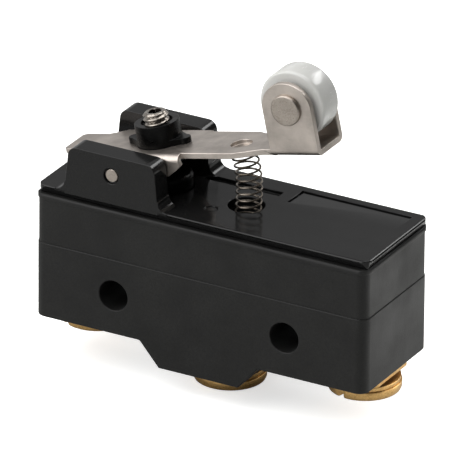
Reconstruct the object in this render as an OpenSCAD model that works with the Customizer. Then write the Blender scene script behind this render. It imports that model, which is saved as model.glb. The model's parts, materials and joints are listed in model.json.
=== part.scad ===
// Basic snap-action limit switch with a hinged roller lever.
// Millimetres, Z up. X runs along the case towards the roller end, -Y is the front face.
// The origin is midway between the two mounting holes, at half the case's thickness.

/* [Case] */
// Length of the case over its lower half
case_l = 49.2; // [49:0.1:50]
// Thickness of the case over its lower half
case_w = 17.45; // [17.2:0.05:18]
// Radius of the case's upright corners
corner_r = 1.5; // [1:0.1:2]
// Distance between the two mounting holes
hole_pitch = 25.4; // [25:0.1:26]
// Diameter of each mounting hole
hole_d = 4.2; // [3.8:0.1:4.4]
// Height of the case's underside at its two ends
end_z = -5.5; // [-6:0.1:-5]
// Height of the case's underside at its middle
mid_z = -8.85; // [-9.5:0.05:-8]
// Height of the joint between base and cover
part_z = 5.15; // [5:0.05:5.3]
// Height of the cover's top
cover_z = 12.15; // [12:0.05:12.3]
// Step in from the base's walls to the cover's walls
cover_step = 0.1; // [0.05:0.05:0.2]
// Height of the rim round the cover's top
rim_h = 0.7; // [0.5:0.05:0.9]
// How far the rim stands out from the cover's walls
rim_out = 0.14; // [0.05:0.01:0.15]

/* [Top plate] */
// Length of the top plate
plate_l = 49.2; // [48.8:0.1:49.4]
// Width of the top plate
plate_w = 16.8; // [16.6:0.1:17]
// Thickness of the top plate
plate_t = 1.2; // [1:0.1:1.4]
// Offset of the top plate along the case
plate_x = 0.12; // [0:0.02:0.2]
// Slope under the top plate's long edges, measured inwards
side_undercut = 0.5; // [0.4:0.05:0.8]
// Slope under the top plate's short edges, measured inwards
end_undercut = 0.4; // [0.3:0.05:0.7]
// Gap between the two hinge ears
ear_gap = 10.6; // [10.5:0.1:11]
// Height of the ears above the top plate
ear_h = 6.35; // [6:0.05:7]
// Width of an ear at its top
ear_top = 12.7; // [12:0.1:13]
// Width of an ear at its foot
ear_foot = 14.0; // [13.4:0.1:14.4]
// Radius of the ear's upper corners
ear_r = 1.3; // [1:0.1:1.6]
// Radius of the fillet at the ear's foot
foot_r = 1.3; // [0.8:0.1:1.5]
// Diameter of the well that holds the return spring
well_d = 4.95; // [4.6:0.05:5.2]
// Place of the spring's well along the case
well_x = 2.54; // [2.4:0.02:2.7]
// Place of the spring's well across the case
well_y = -0.6; // [-0.8:0.05:0]

/* [Lever] */
// Place of the hinge pin along the case
pin_x = -13.3; // [-13.6:0.1:-13]
// Height of the hinge pin
pin_z = 16.9; // [16.7:0.1:17.2]
// Diameter of the hinge pin
pin_d = 1.8; // [1.6:0.1:2]
// Slope of the lever at rest, in degrees
lever_tilt = 12.4; // [12:0.1:12.8]
// Thickness of the lever's sheet
sheet_t = 0.8; // [0.7:0.05:0.9]
// Height of the sheet's upper face above the pin, square to the lever
sheet_top = 1.6; // [1.5:0.05:1.7]
// Width of the lever's arm
arm_w = 8.0; // [7.6:0.1:8.2]
// Width over the two hinge flanges
flange_w = 10.2; // [10:0.05:10.3]
// Distance from the pin to the lever's tail
tail_u = 10.2; // [9.8:0.1:10.6]
// Width of the lever's tail
tail_w = 5.5; // [5:0.1:6]
// Distance from the pin to the roller's axle, along the lever
roller_u = 25.0; // [24.6:0.1:25.4]
// Height of the roller's axle above the pin, square to the lever
roller_v = 7.3; // [7.2:0.1:7.6]
// Diameter of the roller
roller_d = 9.5; // [9:0.1:9.8]
// Width of the roller
roller_w = 4.0; // [3.8:0.1:4.2]
// Width over the roller's two cheeks
cheek_w = 6.5; // [6.4:0.05:6.5]
// Sideways offset of the roller bracket
bracket_y = 0.27; // [0.2:0.01:0.35]
// Length of a cheek along the lever
cheek_l = 7.25; // [7:0.05:7.5]
// Diameter of the roller's axle
axle_d = 2.1; // [1.9:0.1:2.3]
// Diameter of the axle's riveted heads
axle_head_d = 4.2; // [3.8:0.1:4.6]

/* [Adjuster] */
// Distance from the pin to the adjuster's axis
boss_u = 3.1; // [3:0.1:3.3]
// Diameter of the adjuster's boss
boss_d = 6.0; // [5.8:0.1:6.1]
// Height of the boss above the lever
boss_h = 3.0; // [2.6:0.1:3.2]
// Major diameter of the set screw
screw_d = 3.4; // [3:0.1:3.6]
// Height of the set screw above the boss
screw_proud = 1.3; // [1:0.1:1.6]
// Width across the flats of the set screw's socket
socket_af = 1.6; // [1.5:0.1:1.8]

/* [Plunger and spring] */
// Place of the plunger along the case
plunger_x = -9.35; // [-9.45:0.05:-9.25]
// Diameter of the plunger's cap
cap_d = 6.5; // [6.2:0.1:6.7]
// Height of the plunger's crown above the top plate
crown_h = 2.1; // [2:0.05:2.2]
// Outside diameter of the return spring
spring_d = 3.6; // [3.4:0.1:3.8]
// Diameter of the return spring's wire
wire_d = 0.28; // [0.25:0.01:0.35]
// Turns in the return spring
spring_turns = 11; // [9:1:13]

/* [Terminals] */
// Distance from the middle to each end terminal
terminal_x = 20; // [19.8:0.1:20.2]
// Diameter of a terminal screw's head
head_d = 9.8; // [9:0.1:9.8]
// Thickness of a terminal screw's head
head_t = 1.35; // [1.2:0.05:1.5]
// Thickness of a terminal's washer
washer_t = 0.6; // [0.5:0.05:0.7]
// How far the middle and right screws are backed off
screw_slack = 0.45; // [0:0.05:0.5]
// Thickness of the brass terminal's plate
tag_t = 0.9; // [0.8:0.1:1]

/* [Hidden] */
$fn = 64;

case_black = "#2d2d2d";
plastic_black = "#232323";
steel_grey = "#9c948e";
roller_white = "#c8c8c6";
brass_yellow = "#b08a50";
silver_grey = "#c9c7c2";
rubber_black = "#1c1c1c";

eps = 0.01;
plate_z = cover_z + plate_t;
cover_l = case_l - 2 * cover_step;
cover_w = case_w - 2 * cover_step;
cavity_l = 45.6;
cavity_w = 14.4;
floor_z = 3.3;
roof_z = 10.6;
mid_top_half = 8.8;
mid_low_half = 5.9;
wall_step = 0.9;
rib_half = 18;
rib_t = 0.8;
rib_up = 1.4;
peg_x = 19.5;
peg_y = 5.2;
peg_r = 0.9;
ear_t = (plate_w - ear_gap) / 2;
panel_x = 6.7;
panel_l = 16.2;
panel_front_y = 2.5;
panel_back_y = 7.05;
panel_sink = 0.22;
groove_front_y = 3.05;
groove_w = 0.24;
groove_h = 0.42;
pocket_start = pin_x + 7;
pocket_end = 4.85;
pocket_front_y = 3.95;
pocket_back_y = 5.25;
pocket_h = 0.5;
mark_x = -0.9;
mark_y = -3.9;
mark_r = 0.85;
mark_h = 0.1;
seat_r = 3.2;
seat_h = 0.6;
pin_r = pin_d / 2;
pin_fit = 0.05;
sheet_low = sheet_top - sheet_t;
roller_y = bracket_y + 0.25;
bend_r = 1.0;
cheek_bend_r = 0.9;
shoulder_u = 4.6;
neck_u = 16.0;
neck_end_u = 19.8;
neck_half = 2.4;
dimple_u = 15.53;
dimple_y = -0.25;
dimple_r = 1.45;
dimple_h = 0.55;
button_r = 1.3;
button_h = 0.5;
insert_low_v = -0.9;
foot_t = 0.8;
foot_reach = 4.6;
foot_tip_r = 0.9;
shank_v = -0.3;
socket_h = 1.4;
tip_r = 0.9;
tip_gap = 0.02;
crown_z = plate_z + crown_h;
stem_r = 1.6;
nib_r = 0.6;
// The tip's centre sits where the tip just clears the plunger's crown.
tip_v = (crown_z + tip_gap + tip_r - pin_z - boss_u * sin(lever_tilt)) / cos(lever_tilt);
blade_z = 7.7;
blade_t = 0.3;
blade_w = 6.0;
blade_pivot_x = -21.3;
blade_pivot_r = 0.4;
window_x = -8.4;
window_l = 18.4;
window_w = 3;
leaf_x = -6.2;
leaf_span = 16.18;
leaf_rise = 1.6;
leaf_t = 0.2;
leaf_w = 2.2;
rivet_r = 0.78;
contact_x = 16.5;
contact_r = 1.6;
contact_t = 0.8;
contact_drop = 2.14;
contact_gap = 0.03;
strip_t = 0.8;
strip_w = 5.0;
strip_x = 21.8;
rail_t = 0.5;
post_x = -7.3;
post_w = 2.2;
mid_strip_x = 2;
tag_l = 8.2;
tag_w = 8.6;
slot_w = 1.0;
slot_h = 0.8;
short_slot_half = 2.4;
insert_r = 2.95;
insert_h = 5.0;
thread_r = 2.0;
thread_gap = 0.05;
closed_face_z = blade_z + blade_t / 2 + contact_t + contact_gap;
open_face_z = blade_z - blade_t / 2 - contact_t - contact_drop;
well_z = 11.3;
spring_foot_x = 2.68;
spring_foot_y = -0.5;
spring_foot_z = well_z + wire_d / 2 + 0.02;
spring_top_x = pin_x + dimple_u * cos(lever_tilt) - sheet_low * sin(lever_tilt);
spring_bow = 0.5;
spring_r = (spring_d - wire_d) / 2;
// The top coil stays just clear of the sloping sheet above it.
spring_top_z = pin_z + dimple_u * sin(lever_tilt)
    + (sheet_low - wire_d / 2 - 0.05) * cos(lever_tilt);
coil_steps = 18;
wire_sides = 6;

// ---- shared shapes ----

// Rectangle with round corners.
module rounded_outline(l, w, r) {
    square([l - 2 * r, w], center = true);
    square([l, w - 2 * r], center = true);
    for (x = [-1, 1], y = [-1, 1])
        translate([x * (l / 2 - r), y * (w / 2 - r)])
            circle(r);
}

// Upright block with round corners, from z0 up to z1.
module rounded_block(l, w, r, z0, z1) {
    translate([0, 0, z0])
        linear_extrude(z1 - z0)
            rounded_outline(l, w, r);
}

// An X-Z outline given thickness w along Y.
module along_y(w) {
    rotate([90, 0, 0])
        linear_extrude(w, center = true)
            children();
}

// A Y-Z outline given length l along X.
module along_x(l) {
    rotate([90, 0, 90])
        linear_extrude(l, center = true)
            children();
}

// Box from its lowest corner to its highest corner.
module box(low, high) {
    translate(low)
        cube(high - low);
}

// Lever coordinates: u along the lever from the pin, v square to it.
module on_lever() {
    translate([pin_x, 0, pin_z])
        rotate([0, -lever_tilt, 0])
            children();
}

// ---- case ----

// Side view of the base: flat ends with a lower middle between two slopes.
module base_profile() {
    half = case_l / 2 + 1;
    polygon([[-half, end_z], [-mid_top_half, end_z], [-mid_low_half, mid_z],
             [mid_low_half, mid_z], [mid_top_half, end_z], [half, end_z],
             [half, part_z], [-half, part_z]]);
}

module mounting_holes() {
    along_y(case_w + 2)
        for (x = [-1, 1])
            translate([x * hole_pitch / 2, 0])
                circle(hole_d / 2);
}

module base_housing() {
    color(case_black)
    difference() {
        union() {
            intersection() {
                rounded_block(case_l, case_w, corner_r, mid_z - 1, part_z);
                along_y(case_w + 2)
                    base_profile();
            }
            // Ribs that locate the cover along the two long walls.
            for (s = [-1, 1])
                translate([0, s * (cavity_w / 2 - 0.5), part_z])
                    box([-rib_half, -rib_t / 2, -1], [rib_half, rib_t / 2, rib_up]);
        }
        box([-cavity_l / 2, -cavity_w / 2 + wall_step, floor_z],
            [cavity_l / 2, cavity_w / 2 - wall_step, part_z + 2]);
        mounting_holes();
        terminal_sockets();
    }
}

// Space in the base for one terminal's insert.
module insert_socket(x, z) {
    translate([x, 0, z - eps])
        cylinder(r = insert_r + 0.05, h = insert_h + 0.1);
}

module terminal_sockets() {
    gap = 0.05;
    slot = strip_w / 2 + gap;
    insert_socket(-terminal_x, end_z);
    insert_socket(0, mid_z);
    insert_socket(terminal_x, end_z);
    for (s = [-1, 1])
        translate([s * (strip_x + strip_t / 2), 0, 0])
            box([-strip_t / 2 - gap, -slot, end_z - eps],
                [strip_t / 2 + gap, slot, floor_z + eps]);
    box([mid_strip_x - gap, -slot, mid_z - eps], [mid_strip_x + strip_t + gap, slot, floor_z + eps]);
}

module cover_housing() {
    inner_l = cavity_l + 0.4;
    rim_l = cover_l + 2 * rim_out;
    rim_w = cover_w + 2 * rim_out;
    rim_r = corner_r - cover_step + rim_out;
    color(case_black)
    difference() {
        union() {
            rounded_block(cover_l, cover_w, corner_r - cover_step, part_z, cover_z - rim_h + eps);
            intersection() {
                rounded_block(rim_l, rim_w, rim_r, cover_z - rim_h, cover_z);
                along_y(case_w + 1)
                    rim_edge(rim_l / 2);
                along_x(case_l + 1)
                    rim_edge(rim_w / 2);
            }
        }
        box([-inner_l / 2, -cavity_w / 2, part_z - 1], [inner_l / 2, cavity_w / 2, roof_z]);
        translate([plunger_x, 0, roof_z - 1])
            cylinder(r = stem_r + 0.05, h = 4);
        translate([plunger_x, 0, cover_z - seat_h])
            cylinder(r = seat_r, h = 1);
        translate([well_x, well_y, well_z])
            cylinder(d = well_d, h = 2);
        plate_pegs(0.05);
    }
}

// Outline of the cover's rim, round at its upper edge.
module rim_edge(half) {
    soft = 0.3;
    low = cover_z - rim_h - 1;
    polygon([[-half, low], [half, low], [half, cover_z - soft],
             [half - soft * 0.3, cover_z - soft * 0.3], [half - soft, cover_z],
             [-half + soft, cover_z], [-half + soft * 0.3, cover_z - soft * 0.3],
             [-half, cover_z - soft]]);
}

// Pegs under the top plate, each grown by extra on its radius.
module plate_pegs(extra) {
    for (x = [-peg_x, peg_x], y = [-peg_y, peg_y])
        translate([x, y, cover_z - peg_r - extra])
            cylinder(r = peg_r + extra, h = 1 + extra);
}

// ---- top plate with its two hinge ears ----

// Outline with a small round at the plate's upper edge, sloping in below it.
module sloped_edge(half, undercut) {
    soft = 0.25;
    low = half - undercut;
    polygon([[-low, cover_z], [low, cover_z], [half, plate_z - soft],
             [half - soft * 0.3, plate_z - soft * 0.3], [half - soft, plate_z],
             [-half + soft, plate_z], [-half + soft * 0.3, plate_z - soft * 0.3],
             [-half, plate_z - soft]]);
}

// Side view of an ear: sloped sides, round upper corners and fillets at the foot.
module ear_profile() {
    top_z = plate_z + ear_h;
    lean = atan((ear_foot - ear_top) / 2 / ear_h);
    cx = ear_top / 2 - ear_r * (1 - sin(lean)) / cos(lean);
    cz = top_z - ear_r;
    foot = ear_foot / 2;
    tx = cx + ear_r * cos(lean);
    tz = cz + ear_r * sin(lean);
    polygon([[-foot, cover_z + 0.7], [foot, cover_z + 0.7], [foot, plate_z], [tx, tz],
             [cx, top_z], [-cx, top_z], [-tx, tz], [-foot, plate_z]]);
    for (s = [-1, 1]) {
        translate([s * cx, cz])
            circle(ear_r);
        scale([s, 1, 1])
            translate([foot - 0.2, plate_z - 0.2])
                difference() {
                    square([foot_r + 0.2, foot_r + 0.2]);
                    translate([foot_r + 0.2, foot_r + 0.2])
                        circle(foot_r);
                }
    }
}

module top_plate() {
    color(plastic_black)
    difference() {
        union() {
            translate([plate_x, 0, 0])
                intersection() {
                    rounded_block(plate_l, plate_w, corner_r, cover_z, plate_z);
                    along_y(plate_w + 1)
                        sloped_edge(plate_l / 2, end_undercut);
                    along_x(plate_l + 1)
                        sloped_edge(plate_w / 2, side_undercut);
                }
            for (s = [-1, 1])
                translate([pin_x, s * (ear_gap + ear_t) / 2, 0])
                    along_y(ear_t)
                        ear_profile();
            plate_pegs(0);
        }
        translate([pin_x, 0, pin_z])
            rotate([90, 0, 0]) {
                cylinder(r = pin_r + pin_fit, h = plate_w + 1, center = true);
                for (s = [-1, 1])
                    translate([0, 0, s * (plate_w / 2 + 0.1)])
                        cylinder(r = pin_r + 0.22, h = 1, center = true);
            }
        translate([plunger_x, 0, cover_z - 1])
            cylinder(d = cap_d + 0.3, h = plate_t + 2);
        translate([well_x, well_y, cover_z - 1])
            cylinder(d = well_d, h = plate_t + 2);
        // Narrow pocket along the back ear's foot.
        box([pocket_start, pocket_front_y, plate_z - pocket_h],
            [pocket_end, pocket_back_y, plate_z + 1]);
        // Panel on the free half of the plate, sinking towards the back.
        translate([panel_x, 0, plate_z])
            rotate([90, 0, 90])
                linear_extrude(panel_l)
                    polygon([[panel_front_y, 0], [panel_back_y, -panel_sink], [panel_back_y, 1],
                             [panel_front_y, 1]]);
        // Fine groove round the panel's back corner.
        box([panel_x, panel_back_y - groove_w, plate_z - groove_h],
            [panel_x + panel_l, panel_back_y, plate_z + 1]);
        box([panel_x, groove_front_y, plate_z - groove_h],
            [panel_x + groove_w, panel_back_y, plate_z + 1]);
        // Round ejector mark.
        translate([mark_x, mark_y, plate_z - mark_h])
            cylinder(r = mark_r, h = 1);
    }
}

// ---- hinge pin and lever ----

module hinge_pin() {
    color(steel_grey)
        translate([pin_x, 0, pin_z])
            rotate([90, 0, 0])
                cylinder(r = pin_r, h = plate_w - 0.3, center = true);
}

// Plan of the lever: tail, shoulders, arm and tapered neck.
module lever_plan() {
    t = tail_w / 2;
    a = arm_w / 2;
    cut = 0.5;
    mid_u = shoulder_u + 0.6;
    foot_u = shoulder_u + 1.8;
    end_u = roller_u - cheek_l / 2 + cut;
    polygon([[-tail_u, -t + cut], [-tail_u + cut, -t], [-foot_u, -t], [-mid_u, -a + cut],
             [-shoulder_u, -a], [neck_u, -a], [neck_end_u, -neck_half], [end_u, -neck_half],
             [end_u, neck_half], [neck_end_u, neck_half], [neck_u, a], [-shoulder_u, a],
             [-mid_u, a - cut], [-foot_u, t], [-tail_u + cut, t], [-tail_u, t - cut]]);
}

// Section of a sheet bent at both edges: flat over half-width w, round outside corners, legs
// of length h pointing down.
module channel_section(w, r, t, h) {
    difference() {
        union() {
            translate([-w + r, -t])
                square([2 * (w - r), t]);
            translate([-w, -h])
                square([2 * w, h - r]);
            for (s = [-1, 1])
                translate([s * (w - r), -r])
                    circle(r);
        }
        translate([-w + t, -h - 1])
            square([2 * (w - t), h + 1 - t]);
    }
}

// Side view of a hinge flange, round about the pin.
module flange_profile() {
    circle(1.95);
    polygon([[-4.4, sheet_top + 1], [-4.4, 0.6], [-1.5, -1.2], [0, -1.95], [5.6, -1.6], [6.7, -1.2],
             [8, -0.4], [8.6, 0.15], [8.45, 0.7], [8.45, sheet_top + 1]]);
}

// Side view of a roller cheek with its round end about the axle.
module cheek_profile() {
    translate([roller_u, roller_v])
        circle(cheek_l / 2);
    translate([roller_u - cheek_l / 2, sheet_low])
        square([cheek_l, roller_v - sheet_low]);
}

module lever() {
    color(steel_grey)
    on_lever()
    difference() {
        union() {
            translate([0, 0, sheet_low])
                linear_extrude(sheet_t)
                    lever_plan();
            // Button pressed down out of the sheet, which centres the return spring.
            translate([dimple_u, dimple_y, sheet_low - button_h])
                cylinder(r = button_r, h = button_h + eps);
            intersection() {
                translate([0, 0, sheet_top])
                    along_x(60)
                        channel_section(flange_w / 2, bend_r, sheet_t, 5);
                along_y(flange_w + 1)
                    flange_profile();
            }
            intersection() {
                translate([roller_u, bracket_y, sheet_low])
                    mirror([0, 0, 1])
                        along_x(cheek_l)
                            channel_section(cheek_w / 2, cheek_bend_r, sheet_t, 14);
                along_y(cheek_w + 2)
                    cheek_profile();
            }
        }
        rotate([90, 0, 0])
            cylinder(r = pin_r + pin_fit, h = 30, center = true);
        translate([dimple_u, dimple_y, sheet_top - dimple_h])
            cylinder(r = dimple_r, h = 1);
        translate([boss_u, 0, 0])
            cylinder(d = boss_d + 0.1, h = 3);
        translate([roller_u, 0, roller_v])
            rotate([90, 0, 0])
                cylinder(d = axle_d + 0.04, h = 30, center = true);
    }
}

// ---- adjuster insert and set screw ----

// Plan of the insert's foot: a disc drawn out to a blunt point on each side.
module insert_plan() {
    end = foot_reach - foot_tip_r;
    tip = foot_tip_r;
    waist = 1.6;
    side = 2.5;
    circle(d = boss_d);
    for (s = [-1, 1])
        translate([s * end, 0])
            circle(tip);
    polygon([[-end, -tip], [-waist, -side], [waist, -side], [end, -tip],
             [end, tip], [waist, side], [-waist, side], [-end, tip]]);
}

module adjuster_insert() {
    color(plastic_black)
    on_lever()
    translate([boss_u, 0, 0])
    difference() {
        union() {
            translate([0, 0, insert_low_v])
                cylinder(d = boss_d - 0.1, h = sheet_top - insert_low_v);
            translate([0, 0, sheet_top])
                linear_extrude(foot_t)
                    insert_plan();
            translate([0, 0, sheet_top])
                cylinder(d = boss_d, h = boss_h);
        }
        translate([0, 0, -2])
            cylinder(d = screw_d + 0.1, h = 12);
        // Groove that passes over the hinge pin.
        translate([-boss_u, 0, 0])
            rotate([90, 0, 0])
                cylinder(r = pin_r + 0.25, h = 10, center = true);
        translate([0, 0, sheet_top + boss_h - 0.5])
            cylinder(d = screw_d + 0.8, h = 2);
    }
}

module set_screw() {
    top_v = sheet_top + boss_h + screw_proud;
    color(steel_grey)
    on_lever()
    translate([boss_u, 0, 0])
    difference() {
        union() {
            translate([0, 0, shank_v])
                cylinder(d = screw_d, h = top_v - shank_v);
            translate([0, 0, tip_v])
                cylinder(r = tip_r, h = shank_v - tip_v + eps);
            translate([0, 0, tip_v])
                sphere(tip_r);
        }
        translate([0, 0, top_v - socket_h])
            cylinder(d = socket_af / cos(30), h = 2 * socket_h, $fn = 6);
    }
}

// ---- roller and its axle ----

module roller() {
    edge = 0.45;
    r = roller_d / 2;
    bore = axle_d / 2 + 0.05;
    h = roller_w / 2;
    color(roller_white)
    on_lever()
    translate([roller_u, roller_y, roller_v])
        rotate([90, 0, 0])
            rotate_extrude()
                polygon([[bore, -h], [r - edge, -h], [r - 0.13, -h + 0.13], [r, -h + edge],
                         [r, h - edge], [r - 0.13, h - 0.13], [r - edge, h], [bore, h]]);
}

module roller_axle() {
    head_h = 0.5;
    h = cheek_w / 2 + 0.01;
    r = axle_d / 2;
    head_r = axle_head_d / 2;
    color(steel_grey)
    on_lever()
    translate([roller_u, bracket_y, roller_v])
        rotate([90, 0, 0])
            rotate_extrude()
                polygon([[0, -h - head_h], [head_r - 0.2, -h - head_h], [head_r, -h - head_h + 0.2],
                         [head_r, -h], [r, -h], [r, h], [head_r, h], [head_r, h + head_h - 0.2],
                         [head_r - 0.2, h + head_h], [0, h + head_h]]);
}

// ---- return spring ----

// Share of the spring's height reached after a share f of its wire: closed end coils.
function coil_rise(f) =
    let (closed = 0.06, lie = wire_d * spring_turns / (spring_top_z - spring_foot_z),
         e = closed * lie)
    f < closed ? f * lie :
    f > 1 - closed ? 1 - (1 - f) * lie :
    e + (1 - 2 * e) * (f - closed) / (1 - 2 * closed);

// Centre of the coil at a share g of its height: bowed out, then leaning to the lever's button.
function coil_centre(g) =
    [spring_foot_x + spring_bow * g + (spring_top_x - spring_foot_x - spring_bow) * pow(g, 3.5),
     spring_foot_y + (dimple_y - spring_foot_y) * g,
     spring_foot_z + (spring_top_z - spring_foot_z) * g];

// Direction from the coil's centre to the wire at a turn a, sloped by an angle.
function coil_side(a, slope) = [cos(a) * cos(slope), sin(a), cos(a) * sin(slope)];

// One ring of the wire's surface. The coil's turns take up the lever's slope on their way up.
function coil_ring(f) =
    let (a = f * spring_turns * 360, g = coil_rise(f), slope = lever_tilt * g * g,
         side = coil_side(a, slope), c = coil_centre(g) + spring_r * side,
         rise = [-sin(slope), 0, cos(slope)])
    [for (k = [0 : wire_sides - 1])
        let (b = k * 360 / wire_sides)
        c + wire_d / 2 * (cos(b) * side + sin(b) * rise)];

module return_spring() {
    n = spring_turns * coil_steps;
    points = [for (i = [0 : n]) each coil_ring(i / n)];
    sides = [for (i = [0 : n - 1], k = [0 : wire_sides - 1])
        let (j = (k + 1) % wire_sides, p = i * wire_sides, q = p + wire_sides)
        [p + k, q + k, q + j, p + j]];
    first = [for (k = [0 : wire_sides - 1]) k];
    last = [for (k = [wire_sides - 1 : -1 : 0]) n * wire_sides + k];
    color(steel_grey)
        polyhedron(points, concat(sides, [first], [last]));
}

// ---- plunger and its seal ----

module plunger() {
    r = cap_d / 2;
    cap_low = cover_z + 0.8;
    nib_z = blade_z + blade_t / 2 + 0.04;
    color(plastic_black)
        translate([plunger_x, 0, 0])
            rotate_extrude()
                polygon([[0, nib_z], [nib_r - 0.3, nib_z], [nib_r, nib_z + 0.3],
                         [nib_r, nib_z + 0.8], [stem_r, nib_z + 1.2],
                         [stem_r, cap_low], [r, cap_low], [r, crown_z - 0.6], [r - 0.18, crown_z - 0.18],
                         [r - 0.6, crown_z], [0, crown_z]]);
}

module stem_seal() {
    color(rubber_black)
        translate([plunger_x, 0, cover_z - 0.6])
            difference() {
                cylinder(r = 3.15, h = 0.5);
                translate([0, 0, -1])
                    cylinder(r = stem_r + 0.06, h = 3);
            }
}

// ---- snap mechanism ----

module moving_blade() {
    color(brass_yellow) {
        translate([0, 0, blade_z - blade_t / 2])
            linear_extrude(blade_t)
                difference() {
                    translate([blade_pivot_x, -blade_w / 2])
                        square([contact_x + 2.2 - blade_pivot_x, blade_w]);
                    translate([window_x, -window_w / 2])
                        square([window_l, window_w]);
                    translate([contact_x, 0])
                        circle(rivet_r + 0.02);
                }
        translate([blade_pivot_x, 0, blade_z])
            rotate([90, 0, 0])
                cylinder(r = blade_pivot_r, h = blade_w, center = true);
    }
}

// Bowed leaf that loads the blade against its anchor post.
module snap_spring() {
    bow_r = (leaf_span * leaf_span / 4 + leaf_rise * leaf_rise) / (2 * leaf_rise);
    color(silver_grey)
        translate([leaf_x + leaf_span / 2, 0, blade_z + leaf_rise - bow_r])
            along_y(leaf_w)
                intersection() {
                    difference() {
                        circle(bow_r, $fn = 180);
                        circle(bow_r - leaf_t, $fn = 180);
                    }
                    translate([-leaf_span / 2, bow_r - leaf_rise - leaf_t])
                        square([leaf_span, leaf_rise + 2 * leaf_t]);
                }
}

module moving_contact() {
    color(silver_grey)
        translate([contact_x, 0, blade_z])
            for (s = [0, 1])
                mirror([0, 0, s]) {
                    translate([0, 0, blade_t / 2])
                        cylinder(r = contact_r, h = contact_t);
                    cylinder(r = rivet_r, h = blade_t / 2 + eps);
                }
}

// ---- terminals ----

// Brass tag under the case with its threaded insert.
module tag_and_insert(x, z) {
    translate([x, 0, 0]) {
        rounded_block(tag_l, tag_w, 0.6, z - tag_t, z);
        translate([0, 0, z - eps])
            cylinder(r = insert_r, h = insert_h);
    }
}

module insert_thread(x, z) {
    translate([x, 0, z - tag_t - 1])
        cylinder(r = thread_r + thread_gap, h = insert_h + 3);
}

module common_terminal() {
    half = strip_w / 2;
    color(brass_yellow)
    difference() {
        union() {
            tag_and_insert(-terminal_x, end_z);
            box([-strip_x - strip_t, -half, end_z - eps], [-strip_x, half, blade_z + 1]);
            box([-strip_x - eps, -half, floor_z + 0.02], [post_x + 1, half, floor_z + rail_t]);
            box([post_x, -post_w / 2, floor_z + 0.02], [post_x + 1, post_w / 2, blade_z + 1]);
        }
        insert_thread(-terminal_x, end_z);
    }
}

module normally_open_terminal() {
    half = strip_w / 2;
    rail_top = open_face_z - contact_t;
    color(brass_yellow)
    difference() {
        union() {
            tag_and_insert(0, mid_z);
            box([mid_strip_x, -half, mid_z - eps], [mid_strip_x + strip_t, half, rail_top]);
            box([mid_strip_x, -half, rail_top - rail_t + eps], [contact_x + 2, half, rail_top]);
        }
        insert_thread(0, mid_z);
    }
}

module normally_closed_terminal() {
    half = strip_w / 2;
    rail_low = closed_face_z + contact_t;
    color(brass_yellow)
    difference() {
        union() {
            tag_and_insert(terminal_x, end_z);
            box([strip_x, -half, end_z - eps], [strip_x + strip_t, half, rail_low + rail_t]);
            box([contact_x - 2, -half, rail_low], [strip_x + eps, half, rail_low + rail_t]);
        }
        insert_thread(terminal_x, end_z);
    }
}

module normally_open_contact() {
    color(silver_grey)
        translate([contact_x, 0, open_face_z - contact_t])
            cylinder(r = contact_r, h = contact_t);
}

module normally_closed_contact() {
    color(silver_grey)
        translate([contact_x, 0, closed_face_z])
            cylinder(r = contact_r, h = contact_t);
}

// Slotted and cross-recessed screw whose washer face is at height z, its slot at angle a.
module terminal_screw(x, z, a) {
    low = z - head_t;
    color(brass_yellow)
        translate([x, 0, 0])
            difference() {
                union() {
                    rotate_extrude()
                        polygon([[0, low], [head_d / 2 - 0.5, low], [head_d / 2 - 0.15, low + 0.15],
                                 [head_d / 2, low + 0.5], [head_d / 2, z], [0, z]]);
                    translate([0, 0, z - eps])
                        cylinder(r = thread_r, h = insert_h + tag_t + washer_t - 0.3);
                }
                rotate([0, 0, a])
                    box([-head_d, -slot_w / 2, low - 1], [head_d, slot_w / 2, low + slot_h]);
                rotate([0, 0, a + 90])
                    box([-short_slot_half, -slot_w / 2, low - 1],
                        [short_slot_half, slot_w / 2, low + slot_h]);
            }
}

// Spring washer between a screw's head and its tag.
module terminal_washer(x, z) {
    color(brass_yellow)
        translate([x, 0, z - washer_t])
            difference() {
                cylinder(d = head_d - 0.3, h = washer_t);
                translate([0, 0, -1])
                    cylinder(r = thread_r + 0.1, h = 3);
            }
}

module common_screw() {
    terminal_screw(-terminal_x, end_z - tag_t - washer_t, 61);
}

module normally_open_screw() {
    terminal_screw(0, mid_z - tag_t - washer_t - screw_slack, 30);
}

module normally_closed_screw() {
    terminal_screw(terminal_x, end_z - tag_t - washer_t - screw_slack, 78);
}

module common_washer() {
    terminal_washer(-terminal_x, end_z - tag_t);
}

module normally_open_washer() {
    terminal_washer(0, mid_z - tag_t - screw_slack);
}

module normally_closed_washer() {
    terminal_washer(terminal_x, end_z - tag_t - screw_slack);
}

base_housing();
cover_housing();
top_plate();
hinge_pin();
lever();
adjuster_insert();
set_screw();
roller();
roller_axle();
return_spring();
plunger();
stem_seal();
moving_blade();
snap_spring();
moving_contact();
common_terminal();
normally_open_terminal();
normally_closed_terminal();
normally_open_contact();
normally_closed_contact();
common_screw();
normally_open_screw();
normally_closed_screw();
common_washer();
normally_open_washer();
normally_closed_washer();
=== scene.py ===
"""Looks of a snap-action limit switch with a hinged roller lever.

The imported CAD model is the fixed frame. The classes below model the switch's own pieces in finer
form on that frame, give every piece a procedural finish, and set up a plain studio and a camera.
Lengths are in millimetres wherever a name doesn't say otherwise, and mm() turns them to metres.
"""

from __future__ import annotations

import json
import logging
import math
from dataclasses import dataclass, field
from enum import Enum
from typing import Any, Callable, Iterable

import bmesh
import bpy
from mathutils import Matrix, Vector
from mathutils.bvhtree import BVHTree

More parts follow.
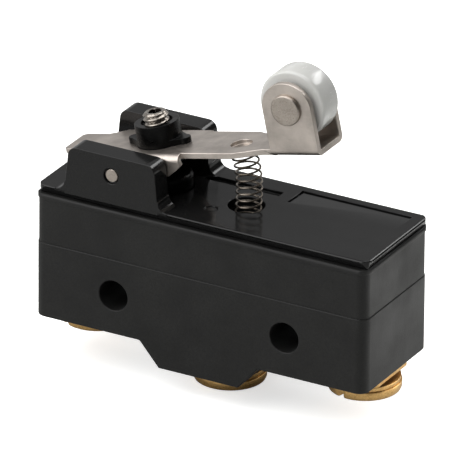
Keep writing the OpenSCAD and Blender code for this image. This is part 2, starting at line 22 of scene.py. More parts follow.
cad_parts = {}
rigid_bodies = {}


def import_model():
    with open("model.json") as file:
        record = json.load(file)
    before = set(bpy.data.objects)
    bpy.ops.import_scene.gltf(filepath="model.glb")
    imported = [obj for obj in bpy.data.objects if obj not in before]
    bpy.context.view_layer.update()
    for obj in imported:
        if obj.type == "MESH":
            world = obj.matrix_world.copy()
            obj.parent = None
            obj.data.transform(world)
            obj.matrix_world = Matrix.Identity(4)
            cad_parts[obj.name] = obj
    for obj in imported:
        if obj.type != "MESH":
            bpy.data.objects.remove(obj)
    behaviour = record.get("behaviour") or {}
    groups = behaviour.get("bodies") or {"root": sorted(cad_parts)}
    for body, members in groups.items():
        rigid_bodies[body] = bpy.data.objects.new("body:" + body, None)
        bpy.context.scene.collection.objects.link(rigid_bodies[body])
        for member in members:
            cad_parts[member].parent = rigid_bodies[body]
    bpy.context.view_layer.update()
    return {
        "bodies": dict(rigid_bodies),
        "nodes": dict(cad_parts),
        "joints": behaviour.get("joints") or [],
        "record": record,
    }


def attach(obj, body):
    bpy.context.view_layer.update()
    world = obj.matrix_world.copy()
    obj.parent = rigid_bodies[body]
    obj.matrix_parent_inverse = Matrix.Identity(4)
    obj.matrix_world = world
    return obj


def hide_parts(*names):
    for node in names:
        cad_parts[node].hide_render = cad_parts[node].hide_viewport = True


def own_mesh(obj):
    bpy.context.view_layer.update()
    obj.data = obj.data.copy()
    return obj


Tree = bpy.types.NodeTree
Socket = bpy.types.NodeSocket
Piece = bpy.types.Object
Triple = tuple[float, float, float]
Inputs = dict[str | int, Any]

LOG = logging.getLogger("limit_switch")
WELD_MM = 0.0005  # points of a new mesh that lie closer than this are one point
JOIN_MM = 0.002  # the same for the CAD's loose triangles
FLAT_DEG = 0.6  # triangles that meet at less than this lie in one face
STRAY_SHARE = 0.6  # how far, as a share of its width, a rounding may leave the model
POLE_R = 0.0005  # a turned end closes on this radius
FINE: dict[str, Any] = {"segments": 2, "crease_deg": 50.0}  # rounding of small or shallow edges
RECTANGLE = ((-1, -1), (1, -1), (1, 1), (-1, 1))


# ---- small helpers ----------------------------------------------------------------------------


def mm(length: float) -> float:
    """Turns millimetres to metres."""
    return length / 1000.0


def spot(x: float, y: float, z: float) -> Vector:
    """A point given in millimetres, in metres."""
    return Vector((mm(x), mm(y), mm(z)))


def srgb(code: str) -> tuple[float, float, float, float]:
    """Turns an sRGB hex colour to linear red, green, blue and alpha.

    Args:
        code: the colour as six hex digits, with or without a leading hash.

    Returns:
        The linear colour, with an alpha of one.
    """
    digits = code.lstrip("#")
    shares = [int(digits[i : i + 2], 16) / 255.0 for i in (0, 2, 4)]
    linear = [c / 12.92 if c <= 0.04045 else ((c + 0.055) / 1.055) ** 2.4 for c in shares]
    return (linear[0], linear[1], linear[2], 1.0)


def add_node(
    tree: Tree, kind: str, settings: dict[str, Any] | None = None, inputs: Inputs | None = None
) -> bpy.types.Node:
    """Adds a node to a tree, sets it up and links it.

    Args:
        tree: the tree that takes the node.
        kind: the node's type name.
        settings: the node's own properties.
        inputs: values or output sockets for its inputs, by name or by index.

    Returns:
        The new node.
    """
    node = tree.nodes.new(kind)
    for name, value in (settings or {}).items():
        setattr(node, name, value)
    for name, value in (inputs or {}).items():
        socket = node.inputs[name]
        if isinstance(value, Socket):
            tree.links.new(value, socket)
        else:
            socket.default_value = value
    return node


def calc(tree: Tree, operation: str, first: Any, second: Any = 0.0) -> Socket:
    """Adds a sum of one or two values to a tree.

    Args:
        tree: the tree that takes it.
        operation: what is done, such as ADD or SQRT.
        first: the first value or socket.
        second: the second value or socket, where the operation takes two.

    Returns:
        The result's socket.
    """
    return add_node(
        tree, "ShaderNodeMath", {"operation": operation}, {0: first, 1: second}
    ).outputs[0]


def link_object(name: str, mesh: bpy.types.Mesh) -> Piece:
    """Puts a mesh into the scene as an object that sits at the origin.

    Args:
        name: the object's name.
        mesh: the mesh, with its place in its points.

    Returns:
        The new object.
    """
    piece = bpy.data.objects.new(name, mesh)
    bpy.context.scene.collection.objects.link(piece)
    return piece


def baked(piece: Piece) -> Piece:
    """Turns a piece's modifiers into plain geometry.

    Args:
        piece: an object with live modifiers.

    Returns:
        The same object, with its evaluated mesh and no modifiers.
    """
    bpy.context.view_layer.update()
    depsgraph = bpy.context.evaluated_depsgraph_get()
    final = bpy.data.meshes.new_from_object(
        piece.evaluated_get(depsgraph), preserve_all_data_layers=True, depsgraph=depsgraph
    )
    piece.modifiers.clear()
    piece.data = final
    final.name = piece.name
    return piece


def smooth(mesh: bpy.types.Mesh, crease_deg: float = 40.0) -> None:
    """Shades a mesh smooth, apart from its sharp edges.

    Args:
        mesh: the mesh, which is changed.
        crease_deg: an edge that turns by more than this stays sharp.
    """
    work = bmesh.new()
    work.from_mesh(mesh)
    for face in work.faces:
        face.smooth = True
    for edge in work.edges:
        turn = edge.calc_face_angle(0.0) if len(edge.link_faces) == 2 else 0.0
        edge.smooth = turn < math.radians(crease_deg)
    work.to_mesh(mesh)
    work.free()


def tidy_normals(mesh: bpy.types.Mesh) -> None:
    """Merges a mesh's doubled points and turns its faces outwards.

    Args:
        mesh: the mesh, which is changed.
    """
    work = bmesh.new()
    work.from_mesh(mesh)
    bmesh.ops.remove_doubles(work, verts=work.verts, dist=mm(WELD_MM))
    bmesh.ops.recalc_face_normals(work, faces=work.faces)
    work.to_mesh(mesh)
    work.free()


def mesh_from_rings(name: str, rings: list[list[Vector]]) -> bpy.types.Mesh:
    """Skins rings of points that follow each other, and caps both ends.

    Args:
        name: the mesh's name.
        rings: rings of the same number of points, each turning the same way.

    Returns:
        A closed mesh whose faces point outwards.
    """
    work = bmesh.new()
    grid = [[work.verts.new(p) for p in ring] for ring in rings]
    count = len(grid[0])
    for low, high in zip(grid, grid[1:]):
        for i in range(count):
            j = (i + 1) % count
            work.faces.new((low[i], low[j], high[j], high[i]))
    work.faces.new(list(reversed(grid[0])))
    work.faces.new(grid[-1])
    bmesh.ops.remove_doubles(work, verts=work.verts, dist=mm(WELD_MM))
    bmesh.ops.recalc_face_normals(work, faces=work.faces)
    mesh = bpy.data.meshes.new(name)
    work.to_mesh(mesh)
    work.free()
    smooth(mesh)
    return mesh


def lathe(
    name: str, profile: list[tuple[float, float]], place: Matrix, steps: int = 96
) -> bpy.types.Mesh:
    """Turns a profile about the Z axis of a place.

    Args:
        name: the mesh's name.
        profile: radius and height pairs in millimetres, from the bottom to the top.
        place: where the turning axis stands, in metres.
        steps: how many faces go round.

    Returns:
        The turned mesh.
    """
    rings = []
    for radius, height in profile:
        ring = []
        for i in range(steps):
            turn = 2 * math.pi * i / steps
            point = spot(radius * math.cos(turn), radius * math.sin(turn), height)
            ring.append(place @ point)
        rings.append(ring)
    return mesh_from_rings(name, rings)


def rounded(
    corner: tuple[float, float], radius: float, start_deg: float, end_deg: float, steps: int = 6
) -> list[tuple[float, float]]:
    """Follows a round corner of a profile.

    Args:
        corner: the arc's centre.
        radius: the arc's radius.
        start_deg: where the arc starts.
        end_deg: where it ends.
        steps: how many stretches it has.

    Returns:
        The points along the arc.
    """
    points = []
    for i in range(steps + 1):
        turn = math.radians(start_deg + (end_deg - start_deg) * i / steps)
        points.append((corner[0] + radius * math.cos(turn), corner[1] + radius * math.sin(turn)))
    return points


def hold_to_surface(mesh: bpy.types.Mesh, model: bpy.types.Mesh, reach: float) -> None:
    """Pulls points that a rounding pushed off the model back onto its surface.

    Args:
        mesh: the rounded mesh, which is changed.
        model: the mesh that it must follow.
        reach: how far a point may lie from the model, in metres.
    """
    tree = BVHTree.FromPolygons(
        [v.co for v in model.vertices], [p.vertices[:] for p in model.polygons]
    )
    for vertex in mesh.vertices:
        nearest = tree.find_nearest(vertex.co)[0]
        if (nearest - vertex.co).length > reach:
            vertex.co = nearest
    tidy_normals(mesh)


def softened(
    frame: dict[str, Any],
    node: str,
    name: str,
    edge_mm: float,
    segments: int = 3,
    crease_deg: float = 40.0,
) -> Piece:
    """Copies a CAD node, joins its loose triangles and rounds its sharp edges.

    Args:
        frame: the loaded frame.
        node: the CAD node's name.
        name: the new piece's name.
        edge_mm: the width of the rounding along each sharp edge.
        segments: how many faces a rounding has.
        crease_deg: an edge that turns by more than this is rounded.

    Returns:
        The new piece, not yet riding on a body.
    """
    work = bmesh.new()
    work.from_mesh(frame["nodes"][node].data)
    bmesh.ops.remove_doubles(work, verts=work.verts, dist=mm(JOIN_MM))
    bmesh.ops.dissolve_limit(
        work, angle_limit=math.radians(FLAT_DEG), verts=work.verts, edges=work.edges
    )
    mesh = bpy.data.meshes.new(name)
    work.to_mesh(mesh)
    work.free()
    piece = link_object(name, mesh)
    bevel = piece.modifiers.new("edge_rounding", "BEVEL")
    bevel.width = mm(edge_mm)
    bevel.segments = segments
    bevel.limit_method = "ANGLE"
    bevel.angle_limit = math.radians(crease_deg)
    bevel.use_clamp_overlap = False
    bevel.miter_outer = "MITER_ARC"
    baked(piece)
    hold_to_surface(piece.data, frame["nodes"][node].data, mm(edge_mm) * STRAY_SHARE)
    smooth(piece.data, crease_deg)
    flat = piece.modifiers.new("flat_faces", "WEIGHTED_NORMAL")
    flat.mode = "FACE_AREA"
    flat.weight = 100
    flat.keep_sharp = True
    return baked(piece)


def set_inputs(modifier: bpy.types.Modifier, values: dict[str, Any]) -> None:
    """Sets a Geometry Nodes modifier's inputs by the name that each socket shows.

    Args:
        modifier: a Geometry Nodes modifier that has not been evaluated yet.
        values: the values by socket name.
    """
    for item in modifier.node_group.interface.items_tree:
        if item.item_type == "SOCKET" and item.in_out == "INPUT" and item.name in values:
            modifier[item.identifier] = values[item.name]


def start_group(name: str, inputs: dict[str, str]) -> tuple[Tree, bpy.types.NodeOutputs]:
    """Starts a Geometry Nodes group that gives geometry back.

    Args:
        name: the group's name.
        inputs: the kind of each of its inputs, by the name that it shows.

    Returns:
        The group, and the sockets that carry its inputs.
    """
    tree = bpy.data.node_groups.new(name, "GeometryNodeTree")
    tree.interface.new_socket("Geometry", in_out="OUTPUT", socket_type="NodeSocketGeometry")
    for label, kind in inputs.items():
        tree.interface.new_socket(label, in_out="INPUT", socket_type=f"NodeSocket{kind}")
    return tree, add_node(tree, "NodeGroupInput").outputs


def end_sweep(tree: Tree, path: Socket, section: Socket, finish: Socket, capped: bool) -> None:
    """Sweeps a section along a path, dresses it and ends the group.

    Args:
        tree: the Geometry Nodes group.
        path: the curve that is followed.
        section: the curve that is swept.
        finish: the material.
        capped: whether the ends are filled.
    """
    swept = add_node(
        tree,
        "GeometryNodeCurveToMesh",
        {},
        {"Curve": path, "Profile Curve": section, "Fill Caps": capped},
    )
    real = add_node(tree, "GeometryNodeRealizeInstances", {}, {0: swept.outputs[0]})
    dressed = add_node(
        tree, "GeometryNodeSetMaterial", {}, {"Geometry": real.outputs[0], "Material": finish}
    )
    add_node(tree, "NodeGroupOutput", {}, {"Geometry": dressed.outputs[0]})


# ---- where the lever lies --------------------------------------------------------------------


@dataclass
class LeverPose:
    """Where the lever lies at rest: its pin, its slope and its adjuster's boss."""

    pin_x: float = -13.3
    pin_z: float = 16.9
    tilt_deg: float = 12.4
    boss_u: float = 3.1

    def matrix(self, along: float = 0.0, across: float = 0.0, above: float = 0.0) -> Matrix:
        """Places something on the lever.

        Args:
            along: the distance along the lever from its pin.
            across: the distance across it.
            above: the distance above the pin, square to the lever.

        Returns:
            The place, turned as the lever is, in metres.
        """
        turn = Matrix.Rotation(-math.radians(self.tilt_deg), 4, "Y")
        return (
            Matrix.Translation(spot(self.pin_x, 0, self.pin_z))
            @ turn
            @ Matrix.Translation(spot(along, across, above))
        )


# ---- finishes ---------------------------------------------------------------------------------


class Grain(Enum):
    """Which way a drawn or rolled metal's lines run."""

    ALONG = (0.06, 1.0, 1.0)
    NONE = (1.0, 1.0, 1.0)


@dataclass(frozen=True)
class Finish:
    """What a surface is made of and how it was made. Each kind adds its own pattern."""

    name: str
    colour: str
    roughness: float

    def make(self) -> bpy.types.Material:
        """Builds the material.

        Returns:
            The material: one Principled shader on this finish's pattern.
        """
        material = bpy.data.materials.new(self.name)
        material.use_nodes = True
        tree = material.node_tree
        tree.nodes.clear()
        plain = {"Base Color": srgb(self.colour), "Roughness": self.roughness}
        shader = add_node(tree, "ShaderNodeBsdfPrincipled", {}, plain | self.pattern(tree))
        add_node(tree, "ShaderNodeOutputMaterial", {}, {"Surface": shader.outputs["BSDF"]})
        return material

    def pattern(self, tree: Tree) -> Inputs:
        """Builds this finish's own pattern.

        Args:
            tree: the material's nodes.

        Returns:
            What the shader's inputs take, by their names.
        """
        raise NotImplementedError

    def place(
        self,
        tree: Tree,
        centre: Vector = Vector((0, 0, 0)),
        turn: Triple = (0, 0, 0),
        stretch: Triple = (1, 1, 1),
    ) -> Socket:
        """Gives object coordinates in millimetres.

        Args:
            tree: the material's nodes.
            centre: the point that they are measured from, in metres.
            turn: how they are turned, in radians.
            stretch: a share under one draws a pattern out that way.

        Returns:
            The coordinates' socket.
        """
        where = add_node(tree, "ShaderNodeTexCoord")
        moved = add_node(
            tree,
            "ShaderNodeVectorMath",
            {"operation": "SUBTRACT"},
            {0: where.outputs["Object"], 1: tuple(centre)},
        )
        mapped = add_node(
            tree,
            "ShaderNodeMapping",
            {"vector_type": "POINT"},
            {
                "Vector": moved.outputs[0],
                "Rotation": turn,
                "Scale": tuple(1000.0 * s for s in stretch),
            },
        )
        return mapped.outputs[0]

    def noise(
        self, tree: Tree, where: Socket, size_mm: float, detail: float = 3.0, rough: float = 0.55
    ) -> Socket:
        """Adds noise.

        Args:
            tree: the material's nodes.
            where: the coordinates.
            size_mm: about how large its features are.
            detail: how many finer layers it has.
            rough: how strong those are.

        Returns:
            The noise's socket.
        """
        node = add_node(
            tree,
            "ShaderNodeTexNoise",
            {"noise_dimensions": "3D"},
            {"Vector": where, "Scale": 1.0 / size_mm, "Detail": detail, "Roughness": rough},
        )
        return node.outputs["Fac"]

    def spread(
        self,
        tree: Tree,
        value: Socket,
        low: float,
        high: float,
        start: float = 0.3,
        end: float = 0.7,
    ) -> Socket:
        """Maps a pattern's range to a range of values.

        Args:
            tree: the material's nodes.
            value: the pattern.
            low: the value at its start.
            high: the value at its end.
            start: the level of the pattern that gives the low value.
            end: the level that gives the high value.

        Returns:
            The values' socket.
        """
        node = add_node(
            tree,
            "ShaderNodeMapRange",
            {"clamp": True},
            {"Value": value, "From Min": start, "From Max": end, "To Min": low, "To Max": high},
        )
        return node.outputs[0]

    def tint(self, tree: Tree, value: Socket, first: str | Socket, second: str) -> Socket:
        """Blends two colours by a pattern.

        Args:
            tree: the material's nodes.
            value: the pattern, which shows the second colour at one.
            first: an sRGB hex colour, or a socket that carries one.
            second: an sRGB hex colour.

        Returns:
            The blended colour's socket.
        """
        start = srgb(first) if isinstance(first, str) else first
        node = add_node(
            tree,
            "ShaderNodeMix",
            {"data_type": "RGBA"},
            {"Factor": value, 6: start, 7: srgb(second)},
        )
        return node.outputs[2]

    def bump(
        self,
        tree: Tree,
        height: Socket,
        depth_mm: float,
        strength: float = 1.0,
        base: Socket | None = None,
    ) -> Socket:
        """Turns a pattern into relief of a real depth.

        Args:
            tree: the material's nodes.
            height: the pattern.
            depth_mm: how deep the relief is.
            strength: how much of it shows.
            base: relief that lies below it.

        Returns:
            The normal's socket.
        """
        inputs: Inputs = {"Height": height, "Distance": mm(depth_mm), "Strength": strength}
        if base is not None:
            inputs["Normal"] = base
        return add_node(tree, "ShaderNodeBump", {}, inputs).outputs[0]


@dataclass(frozen=True)
class PhenolicMoulding(Finish):
    """Compression-moulded phenolic: near black, dull, with a fine even grain from the tool."""

    pale: str = "#20201f"
    grain_mm: float = 0.22
    gloss: float = 0.28

    def pattern(self, tree: Tree) -> Inputs:
        """Mixes a cloud and a fine speck, with flow lines in the relief.

        Args:
            tree: the material's nodes.

        Returns:
            What the shader's inputs take, by their names.
        """
        where = self.place(tree)
        cloud = self.noise(tree, where, 5.0, 4.0)
        speck = self.noise(tree, where, self.grain_mm, 2.0, 0.7)
        flow = self.noise(tree, self.place(tree, stretch=(1.0, 1.0, 0.12)), 0.35, 2.0)
        mixed = calc(tree, "MULTIPLY", cloud, speck)
        tone = self.spread(tree, mixed, 0.0, 1.0, 0.12, 0.42)
        streaks = self.bump(tree, flow, 0.012, 0.5)
        return {
            "Base Color": self.tint(tree, tone, self.colour, self.pale),
            "Roughness": self.spread(tree, cloud, self.roughness - 0.06, self.roughness + 0.08),
            "Normal": self.bump(tree, speck, 0.02, 0.6, streaks),
            "Specular IOR Level": self.gloss,
        }


@dataclass(frozen=True)
class PolishedMoulding(Finish):
    """Injection-moulded nylon from a polished tool: glossy black with slight waves and smears."""

    wave_mm: float = 6.0
    gloss: float = 0.5
    dust: str = "#2b2b2a"

    def pattern(self, tree: Tree) -> Inputs:
        """Lays slight waves, smears and dust on the gloss.

        Args:
            tree: the material's nodes.

        Returns:
            What the shader's inputs take, by their names.
        """
        where = self.place(tree)
        wave = self.noise(tree, where, self.wave_mm, 1.0)
        smear = self.noise(tree, self.place(tree, stretch=(0.4, 1.0, 1.0)), 2.2, 5.0, 0.6)
        fine = self.noise(tree, where, 0.18, 2.0, 0.8)
        tone = self.spread(tree, fine, 0.0, 1.0, 0.62, 0.8)
        waves = self.bump(tree, wave, 0.05, 0.35)
        return {
            "Base Color": self.tint(tree, tone, self.colour, self.dust),
            "Roughness": self.spread(tree, smear, self.roughness * 0.85, self.roughness * 1.25),
            "Normal": self.bump(tree, fine, 0.004, 0.3, waves),
            "Specular IOR Level": self.gloss,
        }


@dataclass(frozen=True)
class RolledSteel(Finish):
    """Cold-rolled stainless sheet, stamped and bent: warm grey with fine rolling lines."""

    dark: str = "#8b837c"
    grain: Grain = Grain.ALONG
    tilt_deg: float = 0.0
    line_mm: float = 0.16

    def pattern(self, tree: Tree) -> Inputs:
        """Draws rolling lines, with fine pits and stains.

        Args:
            tree: the material's nodes.

        Returns:
            What the shader's inputs take, by their names.
        """
        turn = (0.0, math.radians(self.tilt_deg), 0.0)
        where = self.place(tree, turn=turn)
        lined = self.place(tree, turn=turn, stretch=self.grain.value)
        lines = self.noise(tree, lined, self.line_mm, 4.0, 0.65)
        pits = self.noise(tree, where, 0.12, 2.0, 0.7)
        stain = self.noise(tree, where, 3.5, 4.0)
        tone = self.spread(tree, stain, 0.0, 1.0, 0.35, 0.7)
        rolled = self.bump(tree, lines, 0.012, 0.35)
        return {
            "Base Color": self.tint(tree, tone, self.colour, self.dark),
            "Roughness": self.spread(tree, lines, self.roughness - 0.08, self.roughness + 0.14),
            "Normal": self.bump(tree, pits, 0.008, 0.3, rolled),
            "Metallic": 1.0,
        }


@dataclass(frozen=True)
class TurnedMetal(Finish):
    """Bar turned on a lathe: rings about the axis, with darker tarnish in patches."""

    dark: str = "#6b4d22"
    centre: Triple = (0.0, 0.0, 0.0)
    turn: Triple = (0.0, 0.0, 0.0)
    ring_mm: float = 0.22
    tarnish: float = 0.6
    bore_mm: float = 0.0
    bore_fade_mm: float = 0.08
    # Painted shade: the colour a bore is darkened to, standing in for the shade inside it.
    painted_bore_shade: str = "#0d0b0a"

    def pattern(self, tree: Tree) -> Inputs:
        """Draws rings about the axis, with pits and tarnish, and painted shade in a bore where one
        is given.

        Args:
            tree: the material's nodes.

        Returns:
            What the shader's inputs take, by their names.
        """
        where = self.place(tree, spot(*self.centre), self.turn)
        parts = add_node(tree, "ShaderNodeSeparateXYZ", {}, {0: where})
        squares = [calc(tree, "POWER", parts.outputs[i], 2.0) for i in (0, 1)]
        reach = calc(tree, "SQRT", calc(tree, "ADD", *squares))
        along = calc(tree, "ADD", reach, parts.outputs[2])
        ringed = add_node(tree, "ShaderNodeCombineXYZ", {}, {0: along})
        rings = self.noise(tree, ringed.outputs[0], self.ring_mm, 3.0, 0.6)
        patch = self.noise(tree, where, 1.6, 5.0, 0.62)
        pits = self.noise(tree, where, 0.2, 2.0, 0.7)
        worn = calc(tree, "MULTIPLY", patch, pits)
        tone = self.spread(tree, worn, 0.0, self.tarnish, 0.2, 0.42)
        colour = self.tint(tree, tone, self.colour, self.dark)
        # Painted shade: within bore_mm of the axis, such as a screw's hex socket, the colour
        # darkens to the painted shade colour.
        if self.bore_mm:
            rim = self.bore_mm - self.bore_fade_mm
            bore = self.spread(tree, reach, 1.0, 0.0, rim, self.bore_mm)
            colour = self.tint(tree, bore, colour, self.painted_bore_shade)
        turned = self.bump(tree, rings, 0.01, 0.4)
        return {
            "Base Color": colour,
            "Roughness": self.spread(tree, patch, self.roughness - 0.06, self.roughness + 0.14),
            "Normal": self.bump(tree, pits, 0.01, 0.3, turned),
            "Metallic": 1.0,
        }


@dataclass(frozen=True)
class AcetalMoulding(Finish):
    """Moulded acetal: milky off-white, waxy gloss, with a little light carried below the skin."""

    shade: str = "#c9c9c5"

    def pattern(self, tree: Tree) -> Inputs:
        """Clouds the colour and scuffs the waxy skin.

        Args:
            tree: the material's nodes.

        Returns:
            What the shader's inputs take, by their names.
        """
        where = self.place(tree)
        cloud = self.noise(tree, where, 2.5, 3.0)
        scuff = self.noise(tree, self.place(tree, stretch=(1.0, 0.2, 1.0)), 0.3, 4.0, 0.7)
        tone = self.spread(tree, cloud, 0.0, 1.0, 0.35, 0.7)
        return {
            "Base Color": self.tint(tree, tone, self.colour, self.shade),
            "Roughness": self.spread(tree, scuff, self.roughness * 0.75, self.roughness * 1.5),
            "Normal": self.bump(tree, scuff, 0.006, 0.35),
            "Subsurface Weight": 0.12,
            "Subsurface Radius": (0.9, 0.9, 0.8),
            "Subsurface Scale": mm(0.6),
            "Coat Weight": 0.5,
            "Coat Roughness": 0.08,
        }


@dataclass(frozen=True)
class SoftRubber(Finish):
    """Moulded nitrile rubber: dull black with a dusty bloom."""

    bloom: str = "#2e2e2d"

    def pattern(self, tree: Tree) -> Inputs:
        """Lays the bloom.

        Args:
            tree: the material's nodes.

        Returns:
            What the shader's inputs take, by their names.
        """
        where = self.place(tree)
        patch = self.noise(tree, where, 0.6, 4.0)
        tone = self.spread(tree, patch, 0.0, 0.6)
        return {
            "Base Color": self.tint(tree, tone, self.colour, self.bloom),
            "Normal": self.bump(tree, patch, 0.02, 0.5),
        }


@dataclass(frozen=True)
class MattFloor(Finish):
    """Painted studio board: pale and dull. It is lit through from below, so shadows stay faint."""

    glow: float = 0.6
    bounce: str = "#c4c4c2"

    def pattern(self, tree: Tree) -> Inputs:
        """Shows a paler paint than the one that throws light back.

        Args:
            tree: the material's nodes.

        Returns:
            What the shader's inputs take, by their names.
        """
        shown = add_node(tree, "ShaderNodeLightPath").outputs["Is Camera Ray"]
        return {
            "Base Color": self.tint(tree, shown, self.bounce, self.colour),
            "Specular IOR Level": 0.0,
            "Emission Color": srgb("#ffffff"),
            "Emission Strength": calc(tree, "MULTIPLY", shown, self.glow),
        }


@dataclass
class FinishSet:
    """Every finish of the switch, built once."""

    pose: LeverPose = field(default_factory=LeverPose)
    built: dict[str, bpy.types.Material] = field(default_factory=dict)

    def recipes(self) -> list[Finish]:
        """Lists the finishes by the pieces that they dress.

        Returns:
            The finishes.
        """
        tilt = self.pose.tilt_deg
        boss = self.pose.matrix(self.pose.boss_u).to_translation() * 1000.0
        return [
            # The case takes no clear reflection and reads as a soft, even black.
            PhenolicMoulding("phenolic_moulding", "#121212", 0.5),
            # The top plate mirrors the spring and the lights, slightly blurred.
            PolishedMoulding("polished_nylon", "#171717", 0.13, gloss=0.28),
            # The insert and the plunger are the deepest black, with a weak sheen.
            PolishedMoulding("insert_nylon", "#080808", 0.28, gloss=0.12),
            # The lever shows a broad warm sheen, drawn out along its length.
            RolledSteel("rolled_stainless", "#ccc3bb", 0.36, dark="#aaa29b", tilt_deg=tilt),
            # Drawn wire gives a thin bright line on a darker coil.
            RolledSteel("drawn_spring_wire", "#8d847a", 0.28, dark="#5d554c", grain=Grain.NONE),
            # The blade inside is reddish, as beryllium copper is.
            RolledSteel("copper_alloy_strip", "#c98d5a", 0.3, dark="#a06a3c"),
            # The rivet and the pin show faint rings about their middle.
            TurnedMetal(
                "headed_steel", "#b1a89f", 0.3, dark="#857b73", turn=(math.radians(90), 0, 0)
            ),
            # The set screw glints on its threads, and its socket is darkened with painted shade.
            TurnedMetal(
                "plated_screw",
                "#a39c94",
                0.2,
                dark="#4a4540",
                ring_mm=0.4,
                bore_mm=0.98,
                centre=tuple(boss),
                turn=(0.0, math.radians(tilt), 0.0),
            ),
            # Brass glows warm and goes brown where it is tarnished.
            TurnedMetal("turned_brass", "#d3ac70", 0.32, dark="#8c6a3c"),
            # The contacts are pale, with grey tarnish.
            TurnedMetal("contact_silver", "#d2d0ca", 0.25, dark="#8f8c85"),
            # The roller is milky with a soft highlight, and light enters its edges.
            AcetalMoulding("acetal_moulding", "#cececb", 0.2),
            # The seal is dull, with a dusty bloom.
            SoftRubber("nitrile_rubber", "#151515", 0.75),
        ]

    def build(self) -> "FinishSet":
        """Makes the materials.

        Returns:
            This set, filled.
        """
        for recipe in self.recipes():
            self.built[recipe.name] = recipe.make()
        return self

    def __getitem__(self, name: str) -> bpy.types.Material:
        """The material of that name."""
        return self.built[name]


# ---- the switch's sub-assemblies --------------------------------------------------------------


@dataclass
class SubAssembly:
    """A group of pieces on the loaded frame, dressed from one set of finishes."""

    frame: dict[str, Any]
    finishes: FinishSet
    made: list[str] = field(default_factory=list)

    def build(self) -> None:
        """Builds and dresses the group's pieces."""
        raise NotImplementedError

    def dress(self, piece: Piece, finish: str) -> Piece:
        """Gives the whole piece one finish.

        Args:
            piece: the piece.
            finish: the finish's name.

        Returns:
            The same piece.
        """
        piece.data.materials.clear()
        piece.data.materials.append(self.finishes[finish])
        return piece

    def stand_in(self, piece: Piece, node: str, body: str, finish: str, slot: str) -> Piece:
        """Lets a finished piece stand for a CAD node.

        Args:
            piece: the finished piece.
            node: the CAD node that it replaces.
            body: the CAD body that it rides on.
            finish: the finish's name.
            slot: the record's material slot; not used.

        Returns:
            The same piece.
        """
        self.dress(piece, finish)
        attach(piece, body)
        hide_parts(node)
        self.made.append(piece.name)
        return piece

    def keep(self, node: str, finish: str) -> None:
        """Keeps a CAD node as it is, with a better finish.

        Args:
            node: the CAD node's name.
            finish: the finish's name.
        """
        self.dress(self.frame["nodes"][node], finish)
        self.made.append(node)


@dataclass
class Case(SubAssembly):
    """Base, cover and the top plate with its two hinge ears."""

    base_edge: float = 0.16
    cover_edge: float = 0.06
    plate_edge: float = 0.1

    def build(self) -> None:
        """Builds the three shells with moulded edges."""
        base = softened(self.frame, "base_housing", "case_base", self.base_edge)
        self.stand_in(base, "base_housing", "case", "phenolic_moulding", "case_plastic")
        cover = softened(self.frame, "cover_housing", "case_cover", self.cover_edge, **FINE)
        self.stand_in(cover, "cover_housing", "case", "phenolic_moulding", "case_plastic")
        plate = softened(self.frame, "top_plate", "hinge_plate", self.plate_edge)
        self.stand_in(plate, "top_plate", "case", "polished_nylon", "gloss_black")


